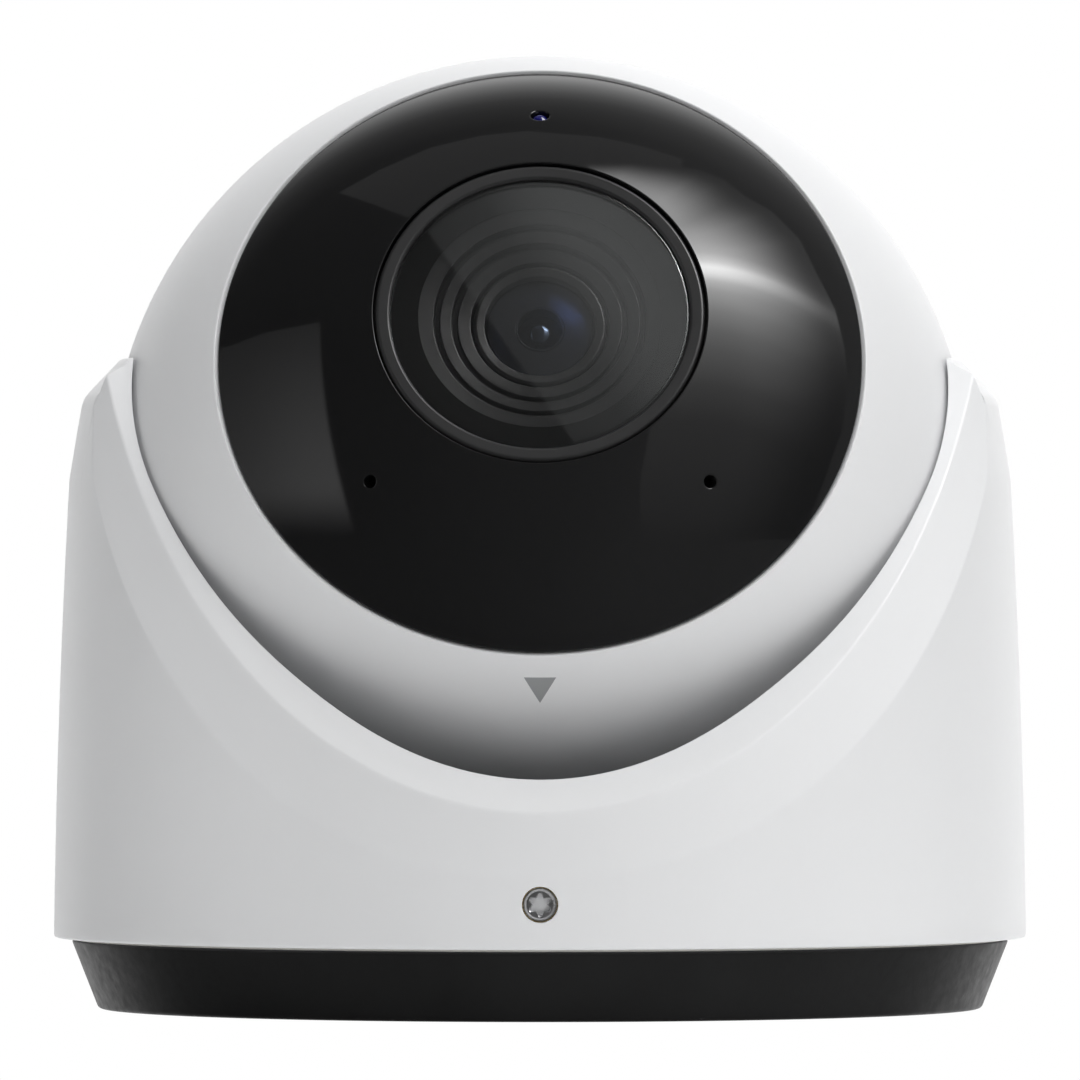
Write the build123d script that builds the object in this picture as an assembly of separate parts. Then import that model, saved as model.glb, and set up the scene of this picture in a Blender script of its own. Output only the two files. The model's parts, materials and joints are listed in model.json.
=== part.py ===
from build123d import *
import math
import os

os.makedirs("parts", exist_ok=True)

# ---------------------------------------------------------------------------
# Turret (eyeball) security camera.  Millimetres, +Z up, origin at the centre
# of the mounting face, front of the camera towards -Y.
# Ball pieces are drawn in the ball's own frame: +Z out through the lens,
# +Y towards the top of the picture, and are then turned into place.
# ---------------------------------------------------------------------------

# driving dimensions
BALL_Z = 64.2            # height of the ball centre above the mounting face
BALL_R = 53.3            # outside radius of the white ball
BALL_IN = 51.0           # inside radius of the ball shells
TILT = 25.5              # lens axis above horizontal as built
DOME_R = 52.9            # outside radius of the black front dome
DOME_IN = 50.7
RIM_POLAR = 47.9         # half angle of the white rim round the dome
DOME_POLAR = 47.7
HOLE_POLAR = 33.2        # half angle of the three pinholes
HOLE_AZ = (90.0, 225.0, 315.0)

COVER_R = 60.0           # outside radius of the cover at its lower edge
COVER_Z0 = 8.8           # lower edge of the cover
COVER_TOP = 80.1         # flat land at the rear top of the cover
BORE_R = 53.8            # opening that the ball sits in
CUT_ANGLE = 50.0         # slope of the front cut
CUT_RIM = 19.95          # distance of the rim plane from the ball centre
CUT_LOW = 13.0           # plane where the lower band starts
CUT_IN = 12.8            # underside of the lip

BASE_R = 57.85
BASE_FOOT_R = 54.5
BASE_H = 8.5
BASE_FLOOR = 3.0
SPIGOT_R = 55.2
SPIGOT_H = 18.0
RIB_IN = 55.3
PCD = 76.0
SCREW_HOLE_R = 2.25
SCREW_AZ = (-90.0, 30.0, 150.0)

YOKE_R = 55.4
YOKE_IN = 53.9
YOKE_HALF = 7.0
PIN_R = 2.2
BUSH_IN = 2.25
BUSH_OUT = 3.6
NECK_R = 8.0
NECK_BORE = 5.0

LOCK_Z = 14.2
LEAD_R = 1.2

RING_R = 19.9
RING_IN = 18.06
RING_P = 48.75
LENS_R = 6.55

BALL = Pos(0, 0, BALL_Z) * Rot(90 - TILT, 0, 0)
nodes = {}


# ------------------------------------------------------------------ helpers
def rev(start, *items):
    """Closed profile in (r, z), revolved about Z.  An item is a point, or a
    pair of points (through, end) for an arc."""
    edges, p = [], start
    for it in items:
        if isinstance(it[0], (tuple, list)):
            m, e = it
            edges.append(ThreePointArc((p[0], 0, p[1]), (m[0], 0, m[1]), (e[0], 0, e[1])))
            p = e
        else:
            edges.append(Line((p[0], 0, p[1]), (it[0], 0, it[1])))
            p = it
    if abs(p[0] - start[0]) > 1e-9 or abs(p[1] - start[1]) > 1e-9:
        edges.append(Line((p[0], 0, p[1]), (start[0], 0, start[1])))
    return revolve(make_face(edges), axis=Axis.Z, revolution_arc=360)


def pol(r, a):
    """(r, z) of a point at radius r and half angle a from the axis."""
    return (r * math.sin(math.radians(a)), r * math.cos(math.radians(a)))


def arc(r, a0, a1):
    return (pol(r, (a0 + a1) / 2), pol(r, a1))


def cyl(r, z0, z1, x=0.0, y=0.0):
    return Pos(x, y, (z0 + z1) / 2) * Cylinder(r, abs(z1 - z0))


def ring(r0, r1, z0, z1, x=0.0, y=0.0):
    return cyl(r1, z0, z1, x, y) - cyl(r0, z0 - 1, z1 + 1, x, y)


def box(x0, x1, y0, y1, z0, z1):
    return Pos((x0 + x1) / 2, (y0 + y1) / 2, (z0 + z1) / 2) * Box(
        abs(x1 - x0), abs(y1 - y0), abs(z1 - z0))


def xcyl(r, x0, x1, y=0.0, z=0.0):
    return Pos((x0 + x1) / 2, y, z) * Rot(0, 90, 0) * Cylinder(r, abs(x1 - x0))


def ycyl(r, y0, y1, x=0.0, z=0.0):
    return Pos(x, (y0 + y1) / 2, z) * Rot(90, 0, 0) * Cylinder(r, abs(y1 - y0))


def at(r, az):
    return (r * math.cos(math.radians(az)), r * math.sin(math.radians(az)))


def radial(polar, az):
    """Frame at the ball centre whose Z points along (polar, az)."""
    s, c = math.sin(math.radians(polar)), math.cos(math.radians(polar))
    ca, sa = math.cos(math.radians(az)), math.sin(math.radians(az))
    return Plane(origin=(0, 0, 0), x_dir=(-sa, ca, 0), z_dir=(s * ca, s * sa, c))


def ball_solid(r):
    return Sphere(r)


def group(parts):
    return Compound(children=[p for p in parts])


def put(name, shape, where=None):
    if where is not None:
        shape = where * shape
    solids = shape.solids()
    nodes[name] = Compound(children=list(solids)) if len(solids) > 1 else solids[0]


# ------------------------------------------------------------- mounting base
prof = rev((0, 0), (BASE_FOOT_R - 0.5, 0), (BASE_FOOT_R, 0.5), (BASE_R - 0.3, BASE_H - 0.6),
           (BASE_R, BASE_H - 0.3), (BASE_R - 0.3, BASE_H), (SPIGOT_R, BASE_H),
           (SPIGOT_R, 13.4), (54.3, 13.4), (54.3, 15.0), (SPIGOT_R, 15.0),
           (SPIGOT_R, SPIGOT_H - 0.5), (SPIGOT_R - 0.5, SPIGOT_H), (52.6, SPIGOT_H),
           (52.6, BASE_FLOOR), (0, BASE_FLOOR))
base = prof
POST = [(-12.0, 36.0), (12.0, 36.0)]
RESET = (-12.5, 45.0)
for a in SCREW_AZ:
    x, y = at(PCD / 2, a)
    base += cyl(5.0, 2.0, 4.5, x, y)
for x, y in POST:
    base += cyl(2.5, 2.0, 16.6, x, y)
base += cyl(3.0, 2.0, 6.0, *RESET)
# stiffening ribs from the spigot wall towards the middle
for a in (-60, -120, -20, 200, 10, 170):
    base += Rot(0, 0, a) * box(30, 53.0, -0.8, 0.8, 2.0, 5.0)
# pan stop, just inside the cover's bore
base += box(-3, 3, 52.7, 53.6, 17.0, 19.6)
for a in SCREW_AZ:
    x, y = at(PCD / 2, a)
    base -= cyl(SCREW_HOLE_R, -1, 6, x, y)
for x, y in POST:
    base -= cyl(1.25, 6.0, 17.0, x, y)
base -= cyl(1.5, -1, 7, *RESET)
JX, JY0, JY1 = 8.0, 35.0, 48.5
# the jack block passes through a window in the floor
base -= box(-JX - 0.1, JX + 0.1, JY0 - 0.1, JY1 + 0.1, -1, 4)
base -= ring(51.0, 53.2, -1, 1.2)
put("mounting_base", base)
put("base_gasket", ring(51.0, 53.2, 0, 1.2))
put("pan_glide_ring", ring(55.7, 57.4, BASE_H, 9.2))

jack = box(-JX, JX, JY0, JY1, 0.4, 16.4)
jack -= box(-5.9, 5.9, JY0 + 2.2, JY0 + 10.2, -1, 14.0)
jack -= box(-3.0, 3.0, JY0 + 10.0, JY0 + 12.0, -1, 13.0)
put("network_jack", jack)
put("jack_contacts", group([box(-3.57 + 1.02 * i - 0.22, -3.57 + 1.02 * i + 0.22,
                                JY0 + 2.2, JY0 + 2.8, 4.0, 14.0) for i in range(8)]))
jb = box(-15, 15, 32.5, 49.5, 16.6, 18.2)
for x, y in POST:
    jb -= cyl(1.35, 16, 19, x, y)
put("jack_board", jb)
put("jack_board_screws", group([cyl(1.2, 8.0, 18.2, x, y) + (cyl(2.3, 18.2, 19.8, x, y)
    - (Pos(x, y, 19.5) * Box(3.2, 0.6, 1.0)) - (Pos(x, y, 19.5) * Box(0.6, 3.2, 1.0)))
    for x, y in POST]))
CONN = (7.5, 44.5)
cn = box(CONN[0] - 4.5, CONN[0] + 4.5, CONN[1] - 2.5, CONN[1] + 2.5, 18.2, 22.0)
put("lead_connector", cn)
put("reset_switch", box(RESET[0] - 2, RESET[0] + 2, RESET[1] - 2, RESET[1] + 2, 15.3, 16.6))
put("reset_plunger", cyl(1.4, 0.8, 14.7, *RESET) + cyl(2.4, 6.3, 7.3, *RESET))

# --------------------------------------------------------------- outer cover
S = BALL_Z
TH = math.radians(CUT_ANGLE)
N = (0.0, -math.sin(TH), math.cos(TH))
V = (0.0, math.cos(TH), math.sin(TH))


def cut_point(n, v):
    return (0.0, N[1] * n + V[1] * v, S + N[2] * n + V[2] * v)


def cut_plane(n, v=0.0):
    return Plane(origin=cut_point(n, v), x_dir=(1, 0, 0), z_dir=N)


outer = rev((0, COVER_Z0), (COVER_R - 0.35, COVER_Z0), (COVER_R, COVER_Z0 + 0.35),
            ((59.32, S - 26.2), (58.1, S + 1.0)),
            ((57.2, S + 6.5), (56.55, S + 10.2)),
            ((56.33, S + 11.0), (55.9, S + 11.55)),
            (51.95, COVER_TOP - 0.15), (51.6, COVER_TOP), (0, COVER_TOP))
low = cut_plane(CUT_LOW, 11.08) * Ellipse(59.34, 89.83)
high = cut_plane(CUT_RIM, 28.67) * Ellipse(55.38, 96.40)
band = loft([low, high], ruled=True)
below = cut_plane(CUT_LOW - 100) * Box(400, 400, 200)
shell = (outer & below) + (outer & band)
cavity = rev((0, S - 56), (57.6, S - 56), (57.6, S - 45), (56.6, S - 20), (56.0, S - 3),
             (56.0, S + 2), (55.4, S + 6.5), (54.2, S + 10), (52.2, S + 12.8), (0, S + 12.8))
cavity &= cut_plane(CUT_IN - 100) * Box(400, 400, 200)
bullet = cyl(BORE_R, S - 70, S) + Pos(0, 0, S) * Sphere(BORE_R)
# the opening is eased forward at the front of the lip
cover = shell - cavity - bullet - cyl(44.25, 15.0, 46.0, 0, -11.2)
extra = ring(RIB_IN, 58.5, 9.3, 11.3) + ring(RIB_IN, 58.5, 16.4, 18.4)
extra += ycyl(4.2, -58.5, -55.6, 0, LOCK_Z)
extra += box(-3, 3, -57.9, -52.9, 18.9, 20.6)
for s in (-1, 1):
    extra += xcyl(7.0, s * 55.75, s * 57.9, 0, S)
# upright stiffeners behind the lock screw and along the sides
for a in (-150, -30, 45, 90, 135, 180, 0):
    extra += Rot(0, 0, a) * box(55.6, 58.6, -0.9, 0.9, 11.0, 30.0)
cover = cover + (extra & outer)
cover -= ycyl(2.25, -62, -58.8, 0, LOCK_Z)
cover -= ycyl(3.1, -58.8, -53.0, 0, LOCK_Z)
for s in (-1, 1):
    cover -= xcyl(BUSH_OUT, s * 55.0, s * 57.2, 0, S)


def try_fillet(shape, picks, r):
    for k in (1.0, 0.7, 0.45):
        try:
            out = fillet(picks, r * k)
            if out.is_valid and abs(out.volume - shape.volume) < 0.05 * shape.volume:
                print("edge rounding", r * k, "edges", len(picks))
                return out
        except Exception as exc:
            print("edge rounding", r * k, "failed:", type(exc).__name__)
    return shape


def on_outer_cut(e):
    """Edges of the slanted band: where it meets the cover's side."""
    pts = [e.position_at(t) for t in (0.15, 0.5, 0.85)]
    ok = True
    for p in pts:
        n = N[1] * p.Y + N[2] * (p.Z - S)
        r = math.hypot(p.X, p.Y)
        ok = ok and 13.3 < n < 19.6 and r > 56.0 and p.Z < S + 10
    return ok


def on_rim(e):
    pts = [e.position_at(t) for t in (0.1, 0.5, 0.9)]
    return all(abs(N[1] * p.Y + N[2] * (p.Z - S) - CUT_RIM) < 0.02 for p in pts)


cover = cover.solids()[0] if len(cover.solids()) == 1 else max(cover.solids(), key=lambda q: q.volume)
edge1 = [e for e in cover.edges() if on_outer_cut(e)]
if edge1:
    cover = try_fillet(cover, edge1, 0.45)
edge2 = [e for e in cover.edges() if on_rim(e) and all(
    math.hypot(e.position_at(t).X, e.position_at(t).Y) < BORE_R + 0.3 for t in (0.2, 0.5, 0.8))]
if edge2:
    cover = try_fillet(cover, edge2, 0.4)
put("outer_cover", cover)

put("lock_insert", ycyl(3.1, -58.8, -55.7, 0, LOCK_Z) - ycyl(2.0, -60, -54, 0, LOCK_Z))
screw = ycyl(1.93, -59.7, -55.45, 0, LOCK_Z) + ycyl(0.7, -55.5, -54.5, 0, LOCK_Z)
star = ycyl(0.95, -60.2, -58.1, 0, LOCK_Z)
for i in range(6):
    a = math.radians(60 * i + 90)
    star += ycyl(0.36, -60.2, -58.1, 1.02 * math.cos(a), LOCK_Z + 1.02 * math.sin(a))
screw -= star
put("lock_screw", screw)
put("pivot_bushes", group([xcyl(BUSH_OUT, s * 55.75, s * 57.2, 0, S)
                           - xcyl(BUSH_IN, s * 55.0, s * 58.0, 0, S) for s in (-1, 1)]))

# ------------------------------------------------------------------ the yoke
band_keep = box(-60, 60, -YOKE_HALF, YOKE_HALF, -60, 0)
for s in (-1, 1):
    band_keep += xcyl(YOKE_HALF, s * 40, s * 60)
shell_y = Sphere(YOKE_R) - Sphere(YOKE_IN)
yoke = shell_y & band_keep
hub = cyl(18.0, -51.9, -50.0) & Sphere(YOKE_R)
yoke = yoke + hub
yoke -= cyl(NECK_R + 0.06, -60, -45)
yoke -= xcyl(PIN_R, -60, 60)
# the hub is open behind, where the roll nut sits
yoke -= cyl(12.6, -60, -51.9)
put("tilt_yoke", yoke, BALL)
put("pivot_pins", group([xcyl(PIN_R, s * 54.0, s * 57.1) for s in (-1, 1)]), BALL)

# -------------------------------------------------------------- ball shells
LED_IN, LED_OUT = 48.0, 50.0
front = rev((BALL_R, 0), arc(BALL_R, 90, RIM_POLAR + 0.35), pol(BALL_R - 0.3, RIM_POLAR),
            pol(LED_OUT, RIM_POLAR), arc(LED_OUT, RIM_POLAR, 43.5), pol(LED_IN, 43.5),
            arc(LED_IN, 43.5, 49.0), pol(BALL_IN, 54.0), arc(BALL_IN, 54.0, 90.0))
SHELL_BOSS = [(45.5, a) for a in (45, 135, 225, 315)]
CHASSIS_BOSS = [(44.5, a) for a in (20, 160, 200, 340)]
in_wall = Sphere(51.6)
for r, a in SHELL_BOSS:
    x, y = at(r, a)
    b = cyl(3.4, 0, 6.0, x, y) + Rot(0, 0, a) * box(r, 52, -1.0, 1.0, 0, 6.0)
    front += b & in_wall
for r, a in CHASSIS_BOSS:
    x, y = at(r, a)
    b = cyl(3.4, 10.2, 16.0, x, y) + Rot(0, 0, a) * box(r, 52, -1.0, 1.0, 10.2, 16.0)
    front += b & in_wall
for r, a in SHELL_BOSS:
    x, y = at(r, a)
    front -= cyl(1.45, -1, 3.8, x, y)
for r, a in CHASSIS_BOSS:
    x, y = at(r, a)
    front -= cyl(1.2, 9, 14.5, x, y)
front -= ring(51.8, 52.5, -1, 0.5)


def tri_prism(grow=0.0):
    """Triangular prism along the mark's own radius: base up, point down."""
    pl = radial(53.0, -90)
    h0, h1, w = -1.82, 1.64, 1.94
    # local x of this frame runs along +X, local y along the increasing polar angle
    top, tip = h0 - grow, h1 + 1.6 * grow
    hw = w + 1.3 * grow
    f = make_face(Polyline((-hw, top, 0), (hw, top, 0), (0, tip, 0), close=True))
    return pl, f


pl, f = tri_prism()
ydir = pl.y_dir
sign = 1.0 if ydir.Y < 0 else -1.0
f2 = make_face(Polyline((-1.94, sign * -1.82, 50), (1.94, sign * -1.82, 50), (0, sign * 1.64, 50), close=True))
tri = pl.location * extrude(f2, 6, dir=(0, 0, 1))
mark_shell = Sphere(BALL_R) - Sphere(BALL_R - 0.25)
mark = tri & mark_shell
front -= mark
put("orientation_mark", mark, BALL)
put("front_shell", front, BALL)

fa = math.degrees(math.asin(21.0 / BALL_R))
fi = math.degrees(math.acos(46.7 / BALL_IN))
rear = rev((BALL_R, 0), arc(BALL_R, 90, 180 - fa), (NECK_R, -BALL_R * math.cos(math.radians(fa))),
           (NECK_R, -54.2), (NECK_BORE, -54.2), (NECK_BORE, -46.7), pol(BALL_IN, 180 - fi),
           arc(BALL_IN, 180 - fi, 90))
for r, a in SHELL_BOSS:
    x, y = at(r, a)
    b = cyl(3.9, -26.0, 0, x, y) + Rot(0, 0, a) * box(r, 52, -1.0, 1.0, -24, 0)
    rear += b & in_wall
for r, a in SHELL_BOSS:
    x, y = at(r, a)
    rear -= cyl(1.6, -10, 1, x, y)
    rear -= cyl(3.0, -60, -9, x, y)
rear -= ring(51.8, 52.5, -0.5, 1)
put("rear_shell", rear, BALL)
put("shell_seal", ring(51.8, 52.5, -0.5, 0.5), BALL)
put("shell_screws", group([cyl(1.4, -9, 3.6, *at(r, a)) + (cyl(2.8, -11.4, -9, *at(r, a))
    - (Pos(*at(r, a), -11.2) * Rot(0, 0, a) * Box(3.6, 0.7, 1.2))
    - (Pos(*at(r, a), -11.2) * Rot(0, 0, a) * Box(0.7, 3.6, 1.2)))
    for r, a in SHELL_BOSS]), BALL)

# --------------------------------------------------------------- front dome
ho = math.degrees(math.asin(20.15 / DOME_R))
hi = math.degrees(math.asin(20.15 / DOME_IN))
dome = rev(pol(DOME_R, ho), arc(DOME_R, ho, DOME_POLAR - 0.2), pol(DOME_R - 0.2, DOME_POLAR),
           pol(DOME_IN, DOME_POLAR), arc(DOME_IN, DOME_POLAR, hi))
for a, hr in zip(HOLE_AZ, (1.15, 0.78, 0.78)):
    pl = radial(HOLE_POLAR, a).location
    dome -= pl * cyl(hr, 40, 60)
put("dome_cover", dome, BALL)
put("dome_gasket", rev(pol(LED_OUT, 44), arc(LED_OUT, 44, 47.5), pol(DOME_IN, 47.5),
                       arc(DOME_IN, 47.5, 44)), BALL)

put("lens_ring", rev((RING_IN, RING_P - 0.3), (RING_IN + 0.25, RING_P), (RING_R - 0.3, RING_P),
                     (RING_R, RING_P - 0.3), (RING_R, 45.5), (21.2, 45.5), (21.2, 44.5),
                     (16.8, 44.5), (16.8, 47.1), (RING_IN, 47.1)), BALL)
put("window_seal", ring(16.9, 17.9, 47.1, 47.28), BALL)
put("window_mask", ring(14.7, 17.9, 47.28, 47.35), BALL)
put("lens_window", rev((0, 47.35), (18.0, 47.35), (18.0, 48.3), (17.85, 48.45), (0, 48.45)), BALL)
put("lens_baffle", rev((16.7, 47.05), (14.9, 47.05), (12.7, 46.62), (12.7, 46.38), (10.56, 45.97), (10.56, 45.73),
                       (8.23, 45.28), (8.23, 44.0), (16.7, 44.0)), BALL)
put("lens_barrel", rev((8.1, 30.0), (8.1, 45.8), (7.8, 46.1), (7.1, 46.1), (LENS_R, 45.6),
                       (LENS_R, 43.5), (5.2, 43.5), (5.2, 30.0)), BALL)
put("front_lens", cyl(LENS_R - 0.02, 43.5, 46.4) & (Pos(0, 0, 46.4 - 14.96) * Sphere(14.96)), BALL)
put("iris_ring", ring(2.98, 5.15, 42.0, 42.6), BALL)
put("rear_lenses", group([cyl(5.15, 38.0, 40.5), cyl(5.15, 32.0, 35.0)]), BALL)
lk = ring(8.12, 10.2, 36.2, 38.4)
for i in range(12):
    x, y = at(10.4, 30 * i)
    lk -= cyl(0.6, 36, 39, x, y)
put("focus_lock_ring", lk, BALL)

holder = box(-19, 19, -12, 12, 22.0, 24.5) + cyl(10.8, 24.0, 36.0)
holder -= cyl(8.15, 20, 37)
LS = [(sx * 16.5, sy * 9.5) for sx in (-1, 1) for sy in (-1, 1)]
for x, y in LS:
    holder -= cyl(1.1, 21, 25, x, y)
put("lens_holder", holder, BALL)
put("lens_screws", group([cyl(1.0, 15.7, 24.5, x, y) + (cyl(1.9, 24.5, 25.8, x, y)
    - Pos(x, y, 25.7) * Box(2.6, 0.5, 0.8) - Pos(x, y, 25.7) * Box(0.5, 2.6, 0.8))
    for x, y in LS]), BALL)

# day and night filter: a carriage that slides across the sensor
ff = box(-19, 19, -12, 12, 17.2, 22.0)
ff -= box(-15.3, 15.3, -6.9, 6.9, 18.4, 21.0)
ff -= cyl(5.2, 17, 23)
for x, y in LS:
    ff += cyl(2.2, 15.6, 17.4, x, y)
for x, y in LS:
    ff -= cyl(1.1, 15, 23, x, y)
ff -= box(-6.3, 6.3, -4.9, 4.9, 15, 17.6)
ff -= box(-19.5, -15.9, -5.2, 5.2, 18.0, 20.8)
put("filter_frame", ff, BALL)
put("filter_coil", box(-19.0, -15.9, -5.2, 5.2, 18.0, 20.8) - box(-18.2, -16.7, -3.6, 3.6, 17, 22), BALL)
slider = box(-5.4, 14.9, -6.5, 6.5, 18.9, 20.3)
slider -= box(-4.3, 4.3, -4.3, 4.3, 19.2, 21) + box(-3.7, 3.7, -3.7, 3.7, 18, 21)
slider -= box(5.2, 13.8, -4.3, 4.3, 19.2, 21) + box(5.8, 13.2, -3.7, 3.7, 18, 21)
put("filter_slider", slider, BALL)
put("filter_glasses", group([box(-4.3, 4.3, -4.3, 4.3, 19.2, 19.8), box(5.2, 13.8, -4.3, 4.3, 19.2, 19.8)]), BALL)

# sensor stack, heat sink and boards
sb = box(-19.5, 19.5, -13, 13, 14.0, 15.6)
for x, y in LS:
    sb -= cyl(1.1, 13, 16, x, y)
put("sensor_board", sb, BALL)
put("image_sensor", box(-6.2, 6.2, -4.8, 4.8, 15.6, 17.4), BALL)
hs = cyl(41.0, 8.2, 10.2) + box(-12, 12, -8, 8, 10.0, 13.4)
for r, a in CHASSIS_BOSS:
    x, y = at(r, a)
    hs += cyl(3.4, 8.2, 10.2, x, y) + Rot(0, 0, a) * box(36, r, -3.4, 3.4, 8.2, 10.2)
for x, y in LS:
    hs += cyl(2.4, 10.0, 14.0, x, y)
for sx in (-1, 1):
    for k in range(5):
        hs += box(sx * 21.5 + sx * 0.0, sx * 31.5, -9.5 + 4.3 * k, -8.1 + 4.3 * k, 10.0, 14.0)
for r, a in CHASSIS_BOSS:
    hs -= cyl(1.5, 7, 12, *at(r, a))
hs -= box(33, 42, -5, 5, 7, 11)
STAND = [(33.0, a) for a in (90, 210, 330)]
for r, a in STAND:
    hs += cyl(2.6, 3.6, 8.4, *at(r, a))
    hs -= cyl(1.0, 3, 9, *at(r, a))
LEDP = [(33.5, a) for a in (60, 180, 300)]
for r, a in LEDP:
    hs += cyl(2.2, 10.0, 27.5, *at(r, a))
hs &= Sphere(50.6)
put("heat_sink", hs, BALL)
put("heat_sink_screws", group([cyl(1.2, 8.2, 14.0, *at(r, a)) + (cyl(2.5, 6.6, 8.2, *at(r, a))
    - (Pos(*at(r, a), 6.8) * Box(3.2, 0.6, 1.0)) - (Pos(*at(r, a), 6.8) * Box(0.6, 3.2, 1.0)))
    for r, a in CHASSIS_BOSS]), BALL)
mb = cyl(38.0, 2.0, 3.6)
for r, a in STAND:
    mb -= cyl(1.1, 1, 5, *at(r, a))
put("main_board", mb, BALL)
put("board_screws", group([cyl(0.95, 2.0, 7.8, *at(r, a)) + cyl(2.0, 0.8, 2.0, *at(r, a))
                           for r, a in STAND]), BALL)
put("processor", box(-8, 8, -8, 8, 3.6, 5.0), BALL)
put("thermal_pads", group([box(-8, 8, -7, 7, 13.4, 14.0), box(-8, 8, -8, 8, 5.0, 8.2)]), BALL)
put("board_chips", group([box(-24, -14, 8, 18, 3.6, 4.7), box(-24, -14, -18, -8, 3.6, 4.7),
                          box(14, 24, 8, 20, 3.6, 4.9), box(16, 22, -18, -12, 3.6, 6.4),
                          cyl(3.0, -6.0, 2.0, 20, 14), cyl(3.0, -6.0, 2.0, -20, 14),
                          box(-22, -10, -22, -12, 0.2, 2.0), box(10, 24, -20, -8, -1.0, 2.0)]), BALL)
put("lead_socket", box(-4, 4, -3, 3, -4.0, 2.0), BALL)
put("flex_ribbon", box(35.0, 35.3, -4, 4, 3.6, 27.5), BALL)
put("led_board", ring(22.8, 37.0, 27.5, 28.9), BALL)
led = []
for a in (15, 50, 130, 165, 255, 285):
    x, y = at(29.5, a)
    led.append(cyl(2.4, 28.9, 29.9, x, y) + (Pos(x, y, 29.9) * Sphere(1.9) & cyl(2.4, 29.8, 32, x, y)))
put("ir_leds", group(led), BALL)
pl = radial(HOLE_POLAR, HOLE_AZ[0]).location
put("light_sensor", pl * (cyl(2.4, 44.0, 47.3) + cyl(1.05, 47.0, 52.0)
                          + (Pos(0, 0, 51.75) * Sphere(1.05) & cyl(1.2, 51.7, 53))), BALL)
mic, boot = [], []
for a in HOLE_AZ[1:]:
    pl = radial(HOLE_POLAR, a).location
    mic.append(pl * cyl(2.4, 44.5, 47.4))
    boot.append(pl * (rev((0.9, 47.4), (2.6, 47.4), (2.2, 50.4), (0.9, 50.4))))
put("microphones", group(mic), BALL)
put("mic_boots", group(boot), BALL)

# ----------------------------------------------------------- rear of the ball
put("friction_washer", ring(8.2, 17.0, -49.9, -48.99), BALL)
nut = ring(NECK_R + 0.02, 11.5, -54.1, -52.1) & Sphere(YOKE_R)
for i in range(4):
    nut -= Rot(0, 0, 45 + 90 * i) * box(10.2, 13, -1.0, 1.0, -55, -51)
put("roll_nut", nut, BALL)
put("cable_gland", ring(LEAD_R, NECK_BORE, -55.0, -48.0), BALL)
put("ball_lead", cyl(LEAD_R, -55.2, -4.0), BALL)


# ------------------------------------------------------- lead inside the cover
def tube(points, r, name):
    """Straight runs joined by tangent arcs, each as large as its runs allow."""
    v = [Vector(*p) for p in points]
    radii = []
    for a, b, c in zip(v, v[1:], v[2:]):
        l0, l1 = (b - a).length, (c - b).length
        turn = math.radians((b - a).get_angle(c - b))
        radii.append(0.45 * min(l0, l1) / math.tan(turn / 2))
    print(name, "radii", [round(q, 2) for q in radii])
    path = FilletPolyline(*[tuple(p) for p in points], radius=radii)
    sec = Plane(origin=v[0], z_dir=(v[1] - v[0])) * Circle(r)
    t = sweep(sec, path=path)
    length = path.length
    print(name, "length", round(length, 2), "volume ratio", round(t.volume / (math.pi * r * r * length), 4))
    return t


ax = (0.0, -math.cos(math.radians(TILT)), math.sin(math.radians(TILT)))


def behind(d, dz=0.0):
    return (0.0, -ax[1] * d, S - ax[2] * d + dz)


g0 = behind(55.25)
g1 = behind(58.4)
route = [g0, g1, (1.2, 53.6, 34.0), (4.6, 50.6, 29.0), (7.0, 46.6, 26.0), (7.5, 45.0, 22.75)]
put("base_lead", tube(route, LEAD_R, "base_lead"))

for name, shape in nodes.items():
    export_step(shape, f"parts/{name}.step")
print(len(nodes), "nodes")
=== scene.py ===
import json
import math

import bmesh
import bpy
import numpy as np
from mathutils import Matrix, Vector


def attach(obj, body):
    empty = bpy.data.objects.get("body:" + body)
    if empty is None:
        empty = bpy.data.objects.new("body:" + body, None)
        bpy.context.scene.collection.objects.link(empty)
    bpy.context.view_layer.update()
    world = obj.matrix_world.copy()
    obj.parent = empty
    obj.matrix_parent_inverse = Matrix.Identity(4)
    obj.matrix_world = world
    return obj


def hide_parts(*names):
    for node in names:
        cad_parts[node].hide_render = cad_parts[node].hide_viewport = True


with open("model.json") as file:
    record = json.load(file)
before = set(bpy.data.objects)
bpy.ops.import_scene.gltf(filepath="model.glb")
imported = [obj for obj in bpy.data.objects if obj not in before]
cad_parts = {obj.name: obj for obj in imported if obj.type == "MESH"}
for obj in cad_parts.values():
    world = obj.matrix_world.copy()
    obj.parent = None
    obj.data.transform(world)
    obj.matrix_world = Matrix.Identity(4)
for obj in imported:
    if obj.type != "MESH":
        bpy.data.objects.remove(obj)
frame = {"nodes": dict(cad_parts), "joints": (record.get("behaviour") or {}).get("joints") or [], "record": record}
nodes, record = frame["nodes"], frame["record"]
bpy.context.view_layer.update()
scene = bpy.context.scene
MM = 0.001

# ---------------------------------------------------------------- placement
# ball centre from the joints, lens axis from the roll joint
joint = {j["name"]: j for j in frame["joints"]}
CENTRE = Vector(joint["roll"]["pos_m"])
AXIS = Vector(joint["roll"]["axis"]).normalized()
S = CENTRE.z / MM
side = Vector((1, 0, 0))
up = AXIS.cross(side).normalized()
BALL = Matrix((
    (side.x, up.x, AXIS.x, CENTRE.x),
    (side.y, up.y, AXIS.y, CENTRE.y),
    (side.z, up.z, AXIS.z, CENTRE.z),
    (0, 0, 0, 1)))

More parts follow.
